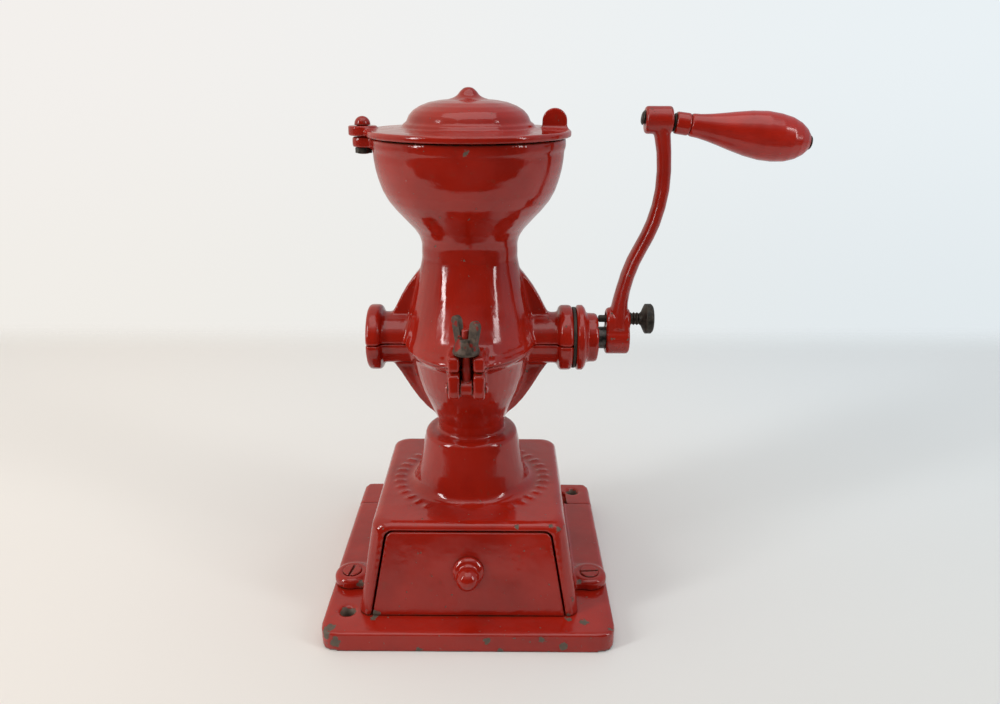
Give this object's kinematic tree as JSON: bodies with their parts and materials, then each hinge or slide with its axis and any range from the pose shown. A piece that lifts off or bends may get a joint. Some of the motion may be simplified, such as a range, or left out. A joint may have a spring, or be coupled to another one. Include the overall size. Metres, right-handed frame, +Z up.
{
  "type": "coffee grinder",
  "caption": "Table coffee mill in red painted cast iron with a hopper and swinging lid, a hand crank on its side, and a drawer in its stand.",
  "frame": {"origin": "middle of the foot plate's underside, which stands on the table", "axes": "+Z up, +X to the crank's side, -Y to the drawer's side"},
  "size_m": [0.2926, 0.18, 0.3247],
  "materials": {
    "red_enamel": "glossy red enamel over cast iron, brushed on thick, chipped at edges",
    "dark_iron": "dark oiled iron, dull",
    "worn_iron": "iron with its paint worn away, grey brown",
    "shaft_steel": "turned steel, aged",
    "tinplate": "folded tinplate, dull",
    "painted_wood": "turned wood under glossy red paint"
  },
  "bodies": {
    "stand": {"base_plate": "red_enamel", "stand_housing": "red_enamel", "flange_screws": "red_enamel", "upper_housing": "red_enamel", "rear_hinge_pin": "dark_iron", "latch_pin": "red_enamel", "fixed_burr": "worn_iron", "thrust_washer": "dark_iron", "lid_pivot_bolt": "red_enamel", "lid_pivot_nut": "dark_iron"},
    "lid": {"lid": "red_enamel"},
    "shaft": {"main_shaft": "shaft_steel", "feed_worm": "worn_iron", "rotating_burr": "worn_iron", "burr_key": "shaft_steel", "crank_arm": "red_enamel", "handle_spindle": "dark_iron"},
    "adjuster": {"adjusting_nut": "red_enamel"},
    "lock": {"lock_screw": "dark_iron"},
    "grip": {"handle_ferrule": "red_enamel", "handle_grip": "painted_wood"},
    "latch": {"latch_bolt": "red_enamel"},
    "wing": {"wing_nut": "worn_iron"},
    "drawer": {"drawer_front": "red_enamel", "drawer_tray": "tinplate", "drawer_rivets": "tinplate", "drawer_knob": "red_enamel", "drawer_knob_screw": "dark_iron"}
  },
  "joints": [
    {"name": "lid_swing", "type": "hinge", "parent": "stand", "child": "lid", "pos_m": [-0.0625, 0, 0.297], "axis": [0, 0, 1], "continuous": true},
    {"name": "crank_spin", "type": "hinge", "parent": "stand", "child": "shaft", "pos_m": [0, 0, 0.172], "axis": [1, 0, 0], "continuous": true},
    {"name": "adjust_spin", "type": "hinge", "parent": "shaft", "child": "adjuster", "pos_m": [0.07, 0, 0.172], "axis": [1, 0, 0], "continuous": true},
    {"name": "lock_spin", "type": "hinge", "parent": "shaft", "child": "lock", "pos_m": [0.09, 0, 0.1847], "axis": [1, 0, 0], "continuous": true},
    {"name": "grip_spin", "type": "hinge", "parent": "shaft", "child": "grip", "pos_m": [0.1114, 0, 0.3064], "axis": [0.9903, 0, -0.1392], "continuous": true},
    {"name": "latch_swing", "type": "hinge", "parent": "stand", "child": "latch", "pos_m": [0, -0.0605, 0.161], "axis": [1, 0, 0], "range_deg": [0, 120]},
    {"name": "wing_spin", "type": "hinge", "parent": "latch", "child": "wing", "pos_m": [0, -0.0605, 0.182], "axis": [0, 0, 1], "continuous": true},
    {"name": "drawer_slide", "type": "slide", "parent": "stand", "child": "drawer", "axis": [0, -1, 0], "range_m": [0, 0.105]}
  ]
}
